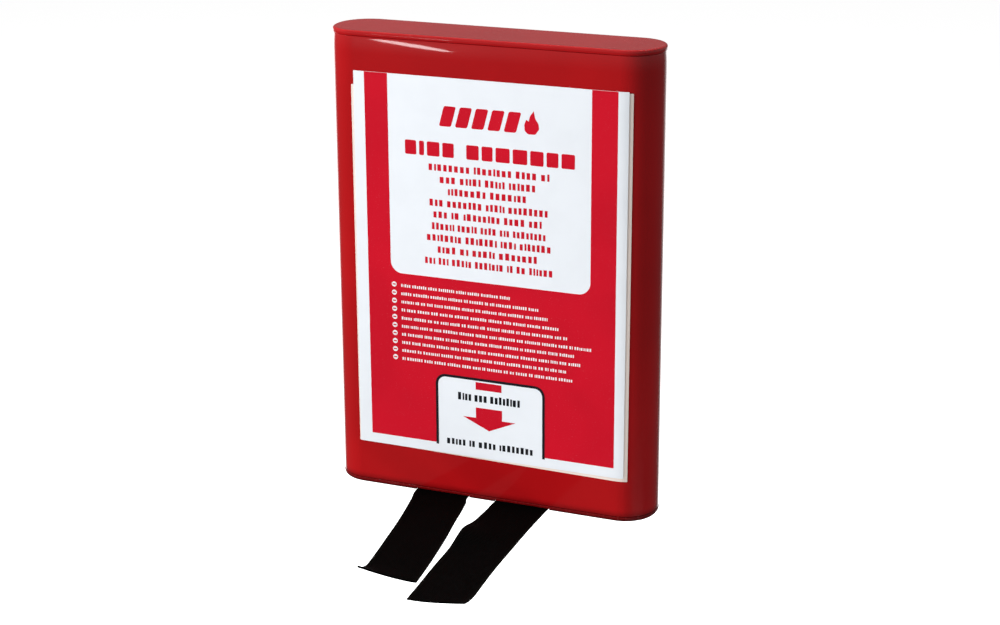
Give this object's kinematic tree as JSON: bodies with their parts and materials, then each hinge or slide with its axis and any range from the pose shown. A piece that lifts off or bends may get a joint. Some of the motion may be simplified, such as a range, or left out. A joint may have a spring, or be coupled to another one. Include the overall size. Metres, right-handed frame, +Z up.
{
  "type": "fire blanket",
  "caption": "Wall-hung fire blanket folded in a hard red case with rounded sides, drawn out of its open bottom by a pair of black webbing pull tapes.",
  "frame": {"origin": "on the case's flat back face, midway between the two keyholes, at the height where the screws carry it", "axes": "+X to the right as you face the front, +Y towards the wall, +Z up"},
  "size_m": [0.2104, 0.1899, 0.29],
  "materials": {
    "gloss_red_case": "moulded, high gloss, deep red",
    "white_label_film": "satin film, slightly yellowed at its edges",
    "printed_label": "satin film printed red with a white panel and border",
    "woven_glass_cloth": "plain-woven glass-fibre cloth, off-white",
    "black_webbing": "woven polyester webbing, matte black",
    "black_thread": "sewing thread"
  },
  "bodies": {
    "case": {"case_sleeve": "gloss_red_case", "top_cap": "gloss_red_case", "mouth_collar": "gloss_red_case", "under_label": "white_label_film", "over_label": "printed_label"},
    "blanket": {"folded_blanket": "woven_glass_cloth", "leading_hem": "woven_glass_cloth", "left_tape_sewn_end": "black_webbing", "right_tape_sewn_end": "black_webbing", "left_tape_stitching": "black_thread", "right_tape_stitching": "black_thread"},
    "left_tape": {"left_pull_tape": "black_webbing"},
    "right_tape": {"right_pull_tape": "black_webbing"}
  },
  "joints": [
    {"name": "blanket_slide", "type": "slide", "parent": "case", "child": "blanket", "axis": [0, 0, -1], "range_m": [0, 0.25]},
    {"name": "left_tape_swing", "type": "hinge", "parent": "blanket", "child": "left_tape", "pos_m": [-0.0295, -0.0394, -0.21165], "axis": [1, 0, 0], "range_deg": [0, 90]},
    {"name": "right_tape_swing", "type": "hinge", "parent": "blanket", "child": "right_tape", "pos_m": [0.024, -0.0394, -0.21165], "axis": [1, 0, 0], "range_deg": [0, 90]}
  ]
}
